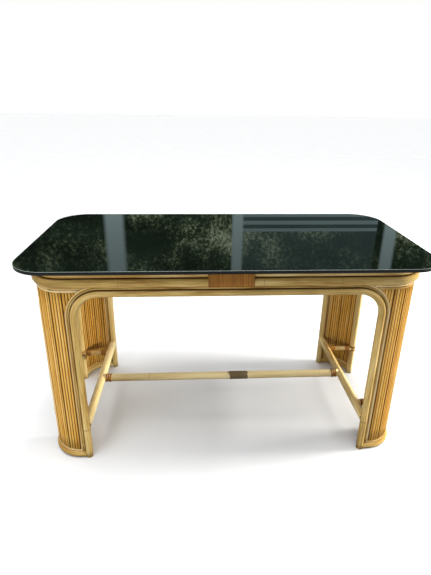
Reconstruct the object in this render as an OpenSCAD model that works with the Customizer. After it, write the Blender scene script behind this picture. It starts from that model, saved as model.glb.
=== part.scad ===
// Rattan table of bent poles and pencil reeds with a loose glass top.
// The origin is on the floor under the middle of the table. X runs along its length.

/* [Overall size] */
// Height of the top face of the glass above the floor
table_h = 750; // [600:5:820]
// Length of the frame, between the centre lines of its end poles
frame_l = 1262; // [1050:1:1600]
// Width of the frame, between the centre lines of its front and back poles
frame_w = 566; // [470:1:800]
// Radius of the frame's corners, on the centre line of the poles
corner_r = 98; // [80:1:120]

/* [Glass] */
// How far the glass reaches past the end poles' centre lines
glass_over_end = 54; // [25:1:120]
// How far the glass reaches past the front and back poles' centre lines
glass_over_side = 52; // [25:1:120]
// Thickness of the glass
glass_t = 12; // [8:1:15]
// Radius of the corners of the glass
glass_corner_r = 115; // [60:1:150]
// Thickness of the clear bumpers that the glass rests on
bumper_t = 3; // [2:0.5:5]
// Diameter of a clear bumper
bumper_d = 16; // [12:1:22]
// Distance from the posts of the long arches to the bumpers on the long rails
bumper_in = 104; // [20:1:300]

/* [Apron] */
// Diameter of the upper rail pole
upper_rail_d = 28; // [24:1:32]
// How far the upper rail stands back from the main rail
upper_rail_back = 4; // [2:1:8]
// Diameter of the main rail pole
main_rail_d = 32; // [28:1:36]
// Diameter of the dowels that join the two halves of a rail
dowel_d = 10; // [6:1:14]
// Length of those dowels
dowel_l = 60; // [40:1:90]
// Length of the cane wrap over the joint of the rails
wrap_l = 150; // [100:1:200]
// Thickness of the cane wrap
wrap_t = 1.5; // [1:0.1:1.8]

/* [Arches] */
// Diameter of the arch poles, which are also the leg posts
arch_d = 25; // [21:1:30]
// Distance along the table from a long arch's post to the end poles, centre to centre
leg_l = 126.5; // [110:0.5:200]
// Distance across the table from an end arch's post to the long poles, centre to centre
leg_w = 91; // [85:0.5:130]
// Distance from the middle of a long arch to its inner screws into the rail
inner_screw_x = 110; // [60:1:160]
// Distance from the bends of a long arch to its outer screws into the rail
outer_screw_in = 98; // [20:1:150]
// Distance from the bends of an end arch to its screws into the rail
end_screw_in = 46; // [20:1:60]
// Radius of the bend of an arch pole, on its centre line
arch_bend_r = 86; // [75:1:100]
// Diameter of the thin trim reed that follows an arch pole
trim_d = 7; // [6:0.5:8]
// Diameter of the border reed that frames the reed panel of a leg
border_d = 8; // [7:0.5:9]
// Diameter of the lower trim reed round a corner
corner_trim_d = 9; // [7:0.5:10]

/* [Legs] */
// Diameter of the pencil reeds of a leg
reed_d = 9.5; // [8:0.1:12]
// Diameter of the hoop that a leg stands on
hoop_d = 24; // [20:1:26]

/* [Stretchers] */
// Height of the centre line of the stretchers above the floor
stretcher_z = 135; // [110:1:250]
// Diameter of the stretchers between the legs
stretcher_d = 31; // [22:0.5:33]
// Diameter of the short ties from a side stretcher to an end post
tie_d = 24; // [18:1:24]
// How far a post binding reaches above and below its tie
post_binding_over = 7; // [4:1:12]
// Length of a cane binding at the end of a stretcher
binding_l = 24; // [16:1:40]
// Thickness of a cane binding
binding_t = 1.6; // [1:0.1:2.5]
// Length of the repair wrap on the centre stretcher
patch_l = 94; // [60:1:140]
// Place of the repair wrap's middle along the centre stretcher
patch_x = 64; // [-200:1:200]
// Diameter of the wood screws at the joints
screw_d = 3.5; // [3:0.5:4.5]
// Length of those screws
screw_l = 50; // [40:1:60]
// Diameter of their heads
screw_head_d = 6.5; // [5.5:0.5:8]
// Height of their heads
screw_head_h = 2; // [1.5:0.5:3]

/* [Fits] */
// Clearance between pieces that lie against each other
gap = 0.2; // [0.1:0.05:0.4]

/* [Hidden] */
$fn = 48;

rattan = [0.80, 0.64, 0.38];
reed_colour = [0.85, 0.68, 0.42];
cane = [0.55, 0.33, 0.16];
glass_colour = [0.06, 0.10, 0.09, 0.8];
steel = [0.7, 0.7, 0.72];

// Centre lines of the frame in plan
end_x = frame_l / 2;
side_y = frame_w / 2;
corner_x = end_x - corner_r;
corner_y = side_y - corner_r;

// Heights, from the glass down to the arch poles
glass_z = table_h - glass_t;
upper_z = glass_z - bumper_t - upper_rail_d / 2;
rail_touch = (upper_rail_d + main_rail_d) / 2 + gap;
main_z = upper_z - sqrt(rail_touch * rail_touch - upper_rail_back * upper_rail_back);
trim_z = main_z - main_rail_d / 2 - gap - trim_d / 2;
arch_z = trim_z - trim_d / 2 - gap - arch_d / 2;
lower_trim_z = trim_z - trim_d / 2 - gap - corner_trim_d / 2;
reed_top_z = lower_trim_z - corner_trim_d / 2 - gap;

// Heights at the foot of a leg
border_z = hoop_d + gap + border_d / 2;
reed_foot_z = border_z + border_d / 2 + gap;

// Posts of the arches, and how far outside a post's centre line each reed of its edge runs
long_post = end_x - leg_l;
end_post = side_y - leg_w;
trim_out = (arch_d + trim_d) / 2 + gap;
border_out = trim_out + (trim_d + border_d) / 2 + gap;
window_out = border_out + border_d / 2 + gap;

// The end arches stand where the corner's line passes their trim reeds
end_plane_x = corner_x + corner_r * cos(asin(max(0, end_post + trim_out - corner_y) / corner_r));

// Middle of an arch's bends, and radius of the outermost line round them
long_bend = long_post - arch_bend_r;
end_bend = end_post - arch_bend_r;
bend_z = arch_z - arch_bend_r;
window_r = arch_bend_r + window_out;

// A border reed is cut off where its middle reaches the main rail, this far round its bend
border_turn = asin((main_z - main_rail_d / 2 - gap - bend_z) / (arch_bend_r + border_out));

// Long enough to pass right through whatever is cut
past = 60;

// How deep the screw heads sit, and how far a butted pole reaches round its neighbour
screw_seat = arch_d / 4;
post_butt = arch_d / 4;
stretcher_butt = stretcher_d / 4;

// ---- the front right corner as a line, with s = 0 where its arc starts ----
corner_l = corner_r * PI / 2;
function arc_s(off) = asin(off / corner_r) * PI / 180 * corner_r;
function s_of_front(x) = x < corner_x ? x - corner_x : arc_s(x - corner_x);
function s_of_end(y) = y > corner_y ? corner_l - arc_s(y - corner_y) : corner_l + corner_y - y;
function arc_point(a) = [corner_x + corner_r * cos(a), -corner_y + corner_r * sin(a)];
function corner_point(s) =
    s < 0 ? [corner_x + s, -side_y]
    : s > corner_l ? [end_x, -corner_y + s - corner_l]
    : arc_point(s / corner_r * 180 / PI - 90);

// The row of full-length reeds between the two border reeds of a leg
row_start = s_of_front(long_post + window_out + reed_d / 2);
row_l = s_of_end(end_post + window_out + reed_d / 2) - row_start;
row_count = floor(row_l / (reed_d + gap));
reed_pitch = row_l / row_count;
row_beyond = ceil(arch_bend_r / reed_pitch);

// Height of an arch's outer line at a distance from the middle of its bend
function line_z(off) = off < window_r ? bend_z + sqrt(window_r * window_r - off * off) : 0;
function reed_bottom(p) = max(line_z(p[0] - long_bend), line_z(-p[1] - end_bend));

// ---- helpers ----
module pole(d, l) {
    cylinder(d = d, h = l);
}
module pole_x(d, l) {
    rotate([0, 90, 0]) pole(d, l);
}
module pole_y(d, l) {
    rotate([-90, 0, 0]) pole(d, l);
}

// A bend of a round pole about Z, from +X towards +Y
module bend(r, d, turn = 90) {
    rotate_extrude(angle = turn) translate([r, 0]) circle(d = d);
}

// Copies of a front right piece on the other corners
module left() {
    mirror([1, 0, 0]) children();
}
module back() {
    mirror([0, 1, 0]) children();
}
module both_ends() {
    children();
    left() children();
}
module both_sides() {
    children();
    back() children();
}

// Turns a piece from the XZ plane into the plane of the front arch or the right arch.
// The piece's -Y side faces outwards. Its +X side is the front of the right arch.
module in_front() {
    translate([0, -side_y, 0]) children();
}
module in_end() {
    translate([end_plane_x, 0, 0]) rotate([0, 0, 90]) mirror([1, 0, 0]) children();
}

// Half of a ring of pole round the frame, on the +X side, from x = start
module half_ring(d, back, z, start) {
    for (side = [-1, 1]) {
        translate([start, side * (side_y - back), z]) pole_x(d, corner_x - start);
        translate([corner_x, side * corner_y, z]) rotate([0, 0, side * 45 - 45])
            bend(corner_r - back, d);
    }
    translate([end_x - back, -corner_y, z]) pole_y(d, 2 * corner_y);
}
module ring_clearance(d, back, z) {
    both_ends() half_ring(d + 2 * gap, back, z, 0);
}

// A pole round the front right corner that runs on along both straights
module corner_pole(d, z, front_x, end_y) {
    translate([front_x, -side_y, z]) pole_x(d, corner_x - front_x);
    translate([corner_x, -corner_y, z]) rotate([0, 0, -90]) bend(corner_r, d);
    if (end_y < corner_y)
        translate([end_x, -corner_y, z]) pole_y(d, corner_y - end_y);
}

// An upright and its bend, that far outside the post, in the plane of the arch
module upright(half_w, out, d, foot_z, turn = 90) {
    translate([half_w + out, 0, foot_z]) pole(d, bend_z - foot_z);
    translate([half_w - arch_bend_r, 0, bend_z]) rotate([90, 0, 0])
        bend(arch_bend_r + out, d, turn);
}
module arch_line(half_w, out, d, foot_z) {
    both_ends() upright(half_w, out, d, foot_z);
    translate([arch_bend_r - half_w, 0, arch_z + out]) pole_x(d, 2 * (half_w - arch_bend_r));
}

// All that lies inside the outermost line of an arch, as a slab in the plane of the arch
module arch_window(half_w) {
    bend_x = half_w - arch_bend_r;
    rotate([90, 0, 0]) linear_extrude(2 * past, center = true) {
        translate([-half_w - window_out, -past])
            square([2 * (half_w + window_out), bend_z + past]);
        translate([-bend_x, 0]) square([2 * bend_x, bend_z + window_r]);
        for (side = [-1, 1]) translate([side * bend_x, bend_z]) circle(r = window_r, $fn = 96);
    }
}
module corner_windows() {
    in_front() arch_window(long_post);
    in_end() arch_window(end_post);
}

// The two posts of the front right corner, a clearance larger
module corner_posts() {
    in_front() translate([long_post, 0, -past]) pole(arch_d + 2 * gap, table_h);
    in_end() translate([end_post, 0, -past]) pole(arch_d + 2 * gap, table_h);
}

// ---- screws, drawn along +Z with the underside of the head at 0 ----
module screw() {
    translate([0, 0, -screw_head_h]) cylinder(d = screw_head_d, h = screw_head_h);
    cylinder(d = screw_d, h = screw_l);
}
module screw_hole() {
    translate([0, 0, -past]) cylinder(d = screw_head_d + 2 * gap, h = past);
    cylinder(d = screw_d + 2 * gap, h = screw_l + gap);
}
module long_rail_screws_at() {
    for (x = [inner_screw_x, long_bend - outer_screw_in], side = [-1, 1])
        translate([side * x, 0, arch_z - screw_seat]) children();
}
module end_rail_screws_at() {
    for (side = [-1, 1])
        translate([side * (end_bend - end_screw_in), 0, arch_z - screw_seat]) children();
}
module rail_screws_at() {
    both_sides() in_front() long_rail_screws_at() children();
    both_ends() in_end() end_rail_screws_at() children();
}
module post_screws_at(half_w) {
    for (side = [-1, 1])
        translate([side * half_w, -screw_seat, stretcher_z]) rotate([-90, 0, 0]) children();
}
module right_stretcher_screws_at() {
    for (y = [-end_post, end_post])
        translate([long_post - screw_seat, y, stretcher_z]) rotate([0, 90, 0]) children();
    translate([long_post + screw_seat, 0, stretcher_z]) rotate([0, -90, 0]) children();
}
module stretcher_screws_at() {
    both_sides() in_front() post_screws_at(long_post) children();
    both_ends() {
        in_end() post_screws_at(end_post) children();
        right_stretcher_screws_at() children();
    }
}
module rail_screws() {
    color(steel) rail_screws_at() screw();
}
module stretcher_screws() {
    color(steel) stretcher_screws_at() screw();
}

// ---- glass ----
module rounded_plate(l, w, r, t) {
    for (x = [-1, 1], y = [-1, 1])
        translate([x * (l / 2 - r), y * (w / 2 - r), 0]) cylinder(r = r, h = t, $fn = 96);
    translate([-l / 2, r - w / 2, 0]) cube([l, w - 2 * r, t]);
    translate([r - l / 2, -w / 2, 0]) cube([l - 2 * r, w, t]);
}
module glass_top() {
    color(glass_colour) translate([0, 0, glass_z])
        rounded_plate(frame_l + 2 * glass_over_end, frame_w + 2 * glass_over_side,
            glass_corner_r, glass_t);
}
module bumper_at(x, y) {
    translate([x, y, glass_z - 2 * bumper_t]) cylinder(d = bumper_d, h = 2 * bumper_t);
}
module glass_bumpers() {
    color("whitesmoke") difference() {
        union() {
            for (x = [-1, 1], y = [-1, 1])
                bumper_at(x * (long_post - bumper_in), y * (side_y - upper_rail_back));
            for (x = [-1, 1]) bumper_at(x * (end_x - upper_rail_back), 0);
        }
        ring_clearance(upper_rail_d, upper_rail_back, upper_z);
    }
}

// ---- rails ----
module dowel_holes(back, z) {
    for (side = [-1, 1]) translate([-past, side * (side_y - back), z])
        pole_x(dowel_d + 2 * gap, past + dowel_l / 2 + gap);
}
module upper_rail_right() {
    color(rattan) difference() {
        half_ring(upper_rail_d, upper_rail_back, upper_z, gap / 2);
        dowel_holes(upper_rail_back, upper_z);
    }
}
module upper_rail_left() {
    left() upper_rail_right();
}
module main_rail_right() {
    color(rattan) difference() {
        half_ring(main_rail_d, 0, main_z, gap / 2);
        dowel_holes(0, main_z);
        rail_screws_at() screw_hole();
    }
}
module main_rail_left() {
    left() main_rail_right();
}
module rail_dowels() {
    color("burlywood") both_sides() {
        translate([-dowel_l / 2, upper_rail_back - side_y, upper_z]) pole_x(dowel_d, dowel_l);
        translate([-dowel_l / 2, -side_y, main_z]) pole_x(dowel_d, dowel_l);
    }
}

// The outline round both rails, grown by more: two circles and the strip between their tangents
module round_both_rails(more) {
    upper_r = upper_rail_d / 2 + more;
    main_r = main_rail_d / 2 + more;
    upper = [upper_rail_back, upper_z];
    main = [0, main_z];
    middle = 90 - atan2(upper_rail_back, upper_z - main_z);
    spread = acos((main_r - upper_r) / rail_touch);
    edges = [middle - spread, middle + spread];
    translate(upper) circle(r = upper_r);
    translate(main) circle(r = main_r);
    polygon([
        for (a = edges) upper + upper_r * [cos(a), sin(a)],
        for (a = [edges[1], edges[0]]) main + main_r * [cos(a), sin(a)]
    ]);
}
module along_wrap(more) {
    translate([-wrap_l / 2 - more, 0, 0]) rotate([90, 0, 90]) linear_extrude(wrap_l + 2 * more)
        children();
}
module front_wrap() {
    color(cane) in_front() along_wrap(0) difference() {
        round_both_rails(gap + wrap_t);
        round_both_rails(gap);
    }
}
module back_wrap() {
    back() front_wrap();
}

// ---- arches ----
module front_arch() {
    color(rattan) in_front() difference() {
        arch_line(long_post, 0, arch_d, 0);
        post_screws_at(long_post) screw_hole();
        long_rail_screws_at() screw_hole();
    }
}
module back_arch() {
    back() front_arch();
}
module right_arch() {
    color(rattan) in_end() difference() {
        arch_line(end_post, 0, arch_d, 0);
        post_screws_at(end_post) screw_hole();
        end_rail_screws_at() screw_hole();
    }
}
module left_arch() {
    left() right_arch();
}
module front_arch_trim() {
    color(rattan) in_front() difference() {
        arch_line(long_post, trim_out, trim_d, hoop_d + gap);
        long_rail_screws_at() screw_hole();
        along_wrap(gap) round_both_rails(gap + wrap_t + gap);
    }
}
module back_arch_trim() {
    back() front_arch_trim();
}
module right_arch_trim() {
    color(rattan) in_end() difference() {
        arch_line(end_post, trim_out, trim_d, hoop_d + gap);
        end_rail_screws_at() screw_hole();
    }
}
module left_arch_trim() {
    left() right_arch_trim();
}

// ---- border of a reed panel: two uprights with bends, mitred to a reed along the foot ----
// Half a space on one side of a mitre, in the plane of the arch: side = 1 above it, -1 below
module mitre(half_w, side) {
    translate([half_w + border_out, 0, border_z]) rotate([0, -45, 0])
        translate([-past, -past, side > 0 ? -gap / 2 : gap / 2 - past])
            cube([2 * past, 2 * past, past]);
}
module border_upright(half_w) {
    difference() {
        upright(half_w, border_out, border_d, border_z - border_d / 2, border_turn);
        mitre(half_w, -1);
    }
}
module border() {
    color(reed_colour) {
        difference() {
            union() {
                in_front() border_upright(long_post);
                in_end() border_upright(end_post);
            }
            ring_clearance(main_rail_d, 0, main_z);
        }
        difference() {
            corner_pole(border_d, border_z, long_post + border_out - border_d / 2,
                end_post + border_out - border_d / 2);
            in_front() mitre(long_post, 1);
            in_end() mitre(end_post, 1);
        }
    }
}
module front_right_border() {
    border();
}
module front_left_border() {
    left() border();
}
module back_right_border() {
    back() border();
}
module back_left_border() {
    left() back() border();
}

// ---- the two trim reeds under the main rail at a corner, scribed to the borders ----
module corner_trim() {
    color(reed_colour) difference() {
        union() {
            corner_pole(trim_d, trim_z, long_bend, end_bend);
            corner_pole(corner_trim_d, lower_trim_z, long_bend, end_bend);
        }
        corner_windows();
    }
}
module front_right_corner_trim() {
    corner_trim();
}
module front_left_corner_trim() {
    left() corner_trim();
}
module back_right_corner_trim() {
    back() corner_trim();
}
module back_left_corner_trim() {
    left() back() corner_trim();
}

// ---- the reeds of a leg: a row round the corner, and short ones over the bends ----
module reeds() {
    color(reed_colour) difference() {
        for (i = [-row_beyond : row_count + row_beyond])
            let (p = corner_point(row_start + i * reed_pitch))
                if (reed_bottom(p) < reed_top_z - reed_d / 2)
                    translate([p[0], p[1], reed_foot_z]) pole(reed_d, reed_top_z - reed_foot_z);
        corner_windows();
    }
}
module front_right_reeds() {
    reeds();
}
module front_left_reeds() {
    left() reeds();
}
module back_right_reeds() {
    back() reeds();
}
module back_left_reeds() {
    left() back() reeds();
}

// ---- the hoop that a leg stands on, butted against its two posts ----
module hoop() {
    color(rattan) difference() {
        corner_pole(hoop_d, hoop_d / 2, long_post + post_butt, end_post);
        corner_posts();
        translate([0, -end_post - post_butt, -past]) cube([frame_l, frame_w, 2 * past]);
    }
}
module front_right_hoop() {
    hoop();
}
module front_left_hoop() {
    left() hoop();
}
module back_right_hoop() {
    back() hoop();
}
module back_left_hoop() {
    left() back() hoop();
}

// ---- stretchers and ties ----
module right_stretcher() {
    reach = side_y - post_butt;
    color(rattan) difference() {
        translate([long_post, -reach, stretcher_z]) pole_y(stretcher_d, 2 * reach);
        both_sides() corner_posts();
        stretcher_screws_at() screw_hole();
    }
}
module left_stretcher() {
    left() right_stretcher();
}
module side_stretcher_clearance() {
    both_ends() translate([long_post, -side_y, stretcher_z])
        pole_y(stretcher_d + 2 * gap, frame_w);
}
module centre_stretcher() {
    reach = long_post - stretcher_butt;
    color(rattan) difference() {
        translate([-reach, 0, stretcher_z]) pole_x(stretcher_d, 2 * reach);
        side_stretcher_clearance();
        stretcher_screws_at() screw_hole();
    }
}
module tie() {
    start = long_post + stretcher_butt;
    color(rattan) difference() {
        translate([start, -end_post, stretcher_z])
            pole_x(tie_d, end_plane_x - post_butt - start);
        side_stretcher_clearance();
        corner_posts();
        stretcher_screws_at() screw_hole();
    }
}
module front_right_tie() {
    tie();
}
module front_left_tie() {
    left() tie();
}
module back_right_tie() {
    back() tie();
}
module back_left_tie() {
    left() back() tie();
}

// ---- cane bindings ----
module binding_x(d, l) {
    difference() {
        pole_x(d + 2 * (gap + binding_t), l);
        translate([-past, 0, 0]) pole_x(d + 2 * gap, l + 2 * past);
    }
}
module centre_bindings() {
    stop = long_post - stretcher_d / 2 - binding_t;
    color(cane) both_ends() translate([stop - binding_l, 0, stretcher_z])
        binding_x(stretcher_d, binding_l);
}
module tie_bindings() {
    inner = long_post + stretcher_d / 2 + binding_t;
    outer = end_plane_x - arch_d / 2 - 2 * binding_t - gap;
    color(cane) both_ends() both_sides() for (x = [inner, outer - binding_l])
        translate([x, -end_post, stretcher_z]) binding_x(tie_d, binding_l);
}
module post_bindings() {
    half_h = tie_d / 2 + post_binding_over;
    color(cane) both_ends() both_sides() difference() {
        in_end() translate([end_post, 0, stretcher_z - half_h])
            pole(arch_d + 2 * (gap + binding_t), 2 * half_h);
        corner_posts();
        in_end() translate([end_post + trim_out, 0, 0]) pole(trim_d + 2 * gap, table_h / 2);
        translate([long_post, -end_post, stretcher_z])
            pole_x(tie_d + 2 * gap, end_plane_x - long_post);
    }
}
module stretcher_wrap() {
    color("rosybrown") translate([patch_x - patch_l / 2, 0, stretcher_z])
        binding_x(stretcher_d, patch_l);
}

glass_top();
glass_bumpers();
upper_rail_left();
upper_rail_right();
main_rail_left();
main_rail_right();
rail_dowels();
front_wrap();
back_wrap();
front_arch();
back_arch();
left_arch();
right_arch();
front_arch_trim();
back_arch_trim();
left_arch_trim();
right_arch_trim();
front_left_border();
front_right_border();
back_left_border();
back_right_border();
front_left_corner_trim();
front_right_corner_trim();
back_left_corner_trim();
back_right_corner_trim();
front_left_reeds();
front_right_reeds();
back_left_reeds();
back_right_reeds();
front_left_hoop();
front_right_hoop();
back_left_hoop();
back_right_hoop();
left_stretcher();
right_stretcher();
centre_stretcher();
front_left_tie();
front_right_tie();
back_left_tie();
back_right_tie();
centre_bindings();
tie_bindings();
post_bindings();
stretcher_wrap();
rail_screws();
stretcher_screws();
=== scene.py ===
# %% [markdown]
# # A rattan table with a smoked glass top
# The frame is made of skinned rattan poles, steamed and bent, with rows of pencil reed at
# the legs and split cane round the joints. A loose plate of dark glass lies on it.
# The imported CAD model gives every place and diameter. Here each pole, reed and strip is
# modelled again as the natural thing it is, and rides on the CAD body it belongs to.

# %% Load the frame
import math
import random

import bmesh
import bpy
from mathutils import Matrix, Vector


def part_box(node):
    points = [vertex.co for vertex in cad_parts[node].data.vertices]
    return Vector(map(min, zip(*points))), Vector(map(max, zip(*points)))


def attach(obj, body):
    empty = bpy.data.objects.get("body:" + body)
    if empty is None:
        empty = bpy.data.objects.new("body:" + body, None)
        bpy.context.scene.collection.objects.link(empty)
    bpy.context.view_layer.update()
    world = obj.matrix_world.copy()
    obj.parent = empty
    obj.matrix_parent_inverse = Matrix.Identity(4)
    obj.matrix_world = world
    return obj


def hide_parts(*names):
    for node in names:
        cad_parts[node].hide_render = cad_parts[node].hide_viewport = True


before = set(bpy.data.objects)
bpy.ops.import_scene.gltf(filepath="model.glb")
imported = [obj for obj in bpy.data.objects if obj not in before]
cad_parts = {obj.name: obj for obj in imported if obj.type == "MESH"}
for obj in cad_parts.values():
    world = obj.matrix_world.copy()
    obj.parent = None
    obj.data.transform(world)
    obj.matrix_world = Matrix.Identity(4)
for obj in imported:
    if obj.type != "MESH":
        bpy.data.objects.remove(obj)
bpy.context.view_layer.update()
X, Y, Z = Vector((1, 0, 0)), Vector((0, 1, 0)), Vector((0, 0, 1))

# %% [markdown]
# ## Sizes
# All sizes are metres. They are read from the boxes of the CAD nodes: a pole's diameter is
# the short side of its box, and its centre line lies a radius inside the box. Only the two
# bending radii, on the centre line, can't be read from a box. GAP is how far apart pieces
# that touch are in the CAD model.

# %% Sizes from the CAD boxes
CORNER_R = 0.098
BEND_R = 0.086
GAP = 0.0002


def low(node, axis):
    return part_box(node)[0][axis]


def high(node, axis):
    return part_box(node)[1][axis]


def span(node, axis):
    return high(node, axis) - low(node, axis)


def middle(node, axis):
    return (low(node, axis) + high(node, axis)) / 2


MAIN_D = span("main_rail_right", 2)
MAIN_Z = middle("main_rail_right", 2)
END_X = high("main_rail_right", 0) - MAIN_D / 2
SIDE_Y = high("main_rail_right", 1) - MAIN_D / 2
UPPER_D = span("upper_rail_right", 2)
UPPER_Z = middle("upper_rail_right", 2)
UPPER_BACK = END_X - (high("upper_rail_right", 0) - UPPER_D / 2)
CORNER_X, CORNER_Y = END_X - CORNER_R, SIDE_Y - CORNER_R

ARCH_D = span("front_arch", 1)
ARCH_Z = high("front_arch", 2) - ARCH_D / 2
LONG_POST = high("front_arch", 0) - ARCH_D / 2
END_POST = high("right_arch", 1) - ARCH_D / 2
END_PLANE = middle("right_arch", 0)
BEND_Z = ARCH_Z - BEND_R
TRIM_D = span("front_arch_trim", 1)
TRIM_OUT = high("front_arch_trim", 0) - TRIM_D / 2 - LONG_POST
BORDER_D = 2 * (-low("front_right_border", 1) - SIDE_Y)
BORDER_Z = low("front_right_border", 2) + BORDER_D / 2
BORDER_OUT = TRIM_OUT + (TRIM_D + BORDER_D) / 2 + GAP
WINDOW_R = BEND_R + BORDER_OUT + BORDER_D / 2 + GAP
UPPER_TRIM_Z = high("front_right_corner_trim", 2) - TRIM_D / 2
LOWER_TRIM_D = span("front_right_corner_trim", 2) - TRIM_D - GAP
LOWER_TRIM_Z = low("front_right_corner_trim", 2) + LOWER_TRIM_D / 2
HOOP_D = high("front_right_hoop", 2)
REED_D = 2 * (-low("front_right_reeds", 1) - SIDE_Y)
REED_FOOT = low("front_right_reeds", 2)
REED_TOP = high("front_right_reeds", 2)
STRETCHER_D = span("right_stretcher", 2)
STRETCHER_Z = middle("right_stretcher", 2)
TIE_D = span("front_right_tie", 2)
# A pole that butts against another is coped to it, and is drawn a quarter of its diameter into it.
IN_POST, IN_POLE = ARCH_D / 4, STRETCHER_D / 4
for name, d in (("main rail", MAIN_D), ("upper rail", UPPER_D), ("arch", ARCH_D), ("reed", REED_D)):
    print(f"{name} {d * 1000:.1f} mm")

# %% [markdown]
# ## Colours and nodes
# Colours are written as sRGB hex, as a paint chart gives them, and one function turns them
# to the linear values that a shader wants. One more function adds a node, its settings
# and its links, so that each material below reads as a short list.

# %% Helpers for materials


def linear(hex_colour):
    parts = [int(hex_colour[i : i + 2], 16) / 255 for i in (1, 3, 5)]
    return [p / 12.92 if p <= 0.04045 else ((p + 0.055) / 1.055) ** 2.4 for p in parts] + [1]


def add(tree, kind, values=None, links=None, **settings):
    node = tree.nodes.new(kind)
    for name, value in settings.items():
        setattr(node, name, value)
    for name, value in (values or {}).items():
        node.inputs[name].default_value = value
    for name, source in (links or {}).items():
        tree.links.new(source, node.inputs[name])
    return node


def new_material(name):
    material = bpy.data.materials.new(name)
    material.use_nodes = True
    tree = material.node_tree
    shader = tree.nodes["Principled BSDF"]
    return material, tree, shader


def ramp(tree, source, *stops):
    node = add(tree, "ShaderNodeValToRGB", links={"Fac": source})
    while len(node.color_ramp.elements) < len(stops):
        node.color_ramp.elements.new(0.5)
    for element, (place, colour) in zip(node.color_ramp.elements, stops):
        element.position = place
        element.color = linear(colour) if isinstance(colour, str) else (colour, colour, colour, 1)
    return node.outputs["Color"]


def wire(tree, socket, source):
    """Links a socket to another node, or sets it to a number or a colour."""
    if hasattr(source, "links"):
        tree.links.new(source, socket)
    else:
        socket.default_value = linear(source) if isinstance(source, str) else source


def mix(tree, factor, a, b):
    node = add(tree, "ShaderNodeMix", data_type="RGBA")
    colour_a, colour_b = (socket for socket in node.inputs if socket.type == "RGBA")
    wire(tree, node.inputs[0], factor)
    wire(tree, colour_a, a)
    wire(tree, colour_b, b)
    return next(socket for socket in node.outputs if socket.type == "RGBA")


def maths(tree, operation, a, b=0.0, c=0.0):
    node = add(tree, "ShaderNodeMath", operation=operation)
    for socket, source in zip(node.inputs, (a, b, c)):
        wire(tree, socket, source)
    return node.outputs[0]


print("white as a shader wants it", linear("#FFFFFF"))

# %% [markdown]
# ## Rattan
# A rattan pole is a vine with its thorny bark scraped off. The skin is a hard, glossy,
# straw-coloured layer with fine fibres along it, a darker ring at each old leaf joint, and
# slow patches of green, tan and orange. It was lacquered clear, so it shines softly.
# Every pole carries three vertex attributes that follow it round its bends. "grain" is the
# place on the pole if it were straight, so the fibres turn with it. "knot" is 1 on a ring.
# "shade" holds the tone of the pole in X, and in Y how near the next pole is. There Y
# darkens the pole with stain and with painted shade, the shade between touching poles.

# %% The rattan materials


def rattan(name, light, mid, dark, joint, patch, groove_stain_and_shade_colour, rough,
           groove_from=0.80, fibre_mm=1.6, tone_range=0.3):
    material, tree, shader = new_material(name)
    grain = add(tree, "ShaderNodeAttribute", attribute_name="grain").outputs["Vector"]
    knot = add(tree, "ShaderNodeAttribute", attribute_name="knot").outputs["Fac"]
    shade = add(tree, "ShaderNodeAttribute", attribute_name="shade").outputs["Vector"]
    parts = add(tree, "ShaderNodeSeparateXYZ", links={"Vector": shade})
    tone, groove = parts.outputs["X"], parts.outputs["Y"]

    def noise(across_mm, along_mm, detail=2.0, roughness=0.5):
        place = add(tree, "ShaderNodeMapping", links={"Vector": grain})
        place.inputs["Scale"].default_value = (1000 / across_mm, 1000 / across_mm, 1000 / along_mm)
        settings = {"Scale": 1.0, "Detail": detail, "Roughness": roughness}
        return add(tree, "ShaderNodeTexNoise", settings, {"Vector": place.outputs[0]}).outputs["Fac"]

    def part(source, share):
        return maths(tree, "MULTIPLY", source, share)

    # Fibres are a fraction of a millimetre wide, drawn as coarser streaks so that they show.
    fibre = noise(fibre_mm, along_mm=28 * fibre_mm, detail=3.0, roughness=0.6)
    slow = noise(across_mm=26.0, along_mm=170.0)
    fleck = noise(across_mm=1.3, along_mm=9.0, detail=1.0)
    patches = noise(across_mm=40.0, along_mm=260.0, detail=1.0)

    # Colour: streaks and slow changes, then patches, flecks, joint rings, and in the grooves stain with
    # painted shade.
    own_tone = maths(tree, "MULTIPLY_ADD", tone, tone_range, -tone_range / 2)
    streaks = maths(tree, "ADD", part(fibre, 0.55), part(slow, 0.45))
    streaks = maths(tree, "ADD", streaks, own_tone)
    colour = ramp(tree, streaks, (0.35, dark), (0.50, mid), (0.65, light))
    colour = mix(tree, part(ramp(tree, patches, (0.50, 0.0), (0.68, 1.0)), 0.45), colour, patch)
    colour = mix(tree, part(ramp(tree, fleck, (0.67, 0.0), (0.76, 1.0)), 0.35), colour, joint)
    colour = mix(tree, part(maths(tree, "POWER", knot, 1.5), 0.75), colour, joint)
    # Where a pole meets its neighbour the groove colour is partly stain and partly painted shade.
    groove_stain_and_shade = ramp(tree, groove, (groove_from, 0.0), (0.97, 1.0))
    colour = mix(tree, groove_stain_and_shade, colour, groove_stain_and_shade_colour)
    tree.links.new(colour, shader.inputs["Base Color"])

    # Surface: a clear coat over skin that is duller on the fibres and in the grooves.
    worn = maths(tree, "ADD", part(fibre, 0.5), part(groove_stain_and_shade, 0.5))
    shine = ramp(tree, worn, (0.15, rough - 0.07), (0.75, rough + 0.14))
    tree.links.new(shine, shader.inputs["Roughness"])
    shader.inputs["Coat Weight"].default_value = 0.2
    shader.inputs["Coat Roughness"].default_value = 0.18
    shader.inputs["Specular IOR Level"].default_value = 0.35
    height = maths(tree, "ADD", fibre, part(fleck, 0.4))
    bump = add(tree, "ShaderNodeBump", {"Strength": 0.35, "Distance": 0.0004}, {"Height": height})
    tree.links.new(bump.outputs["Normal"], shader.inputs["Normal"])
    print("material", name)
    return material
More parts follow.
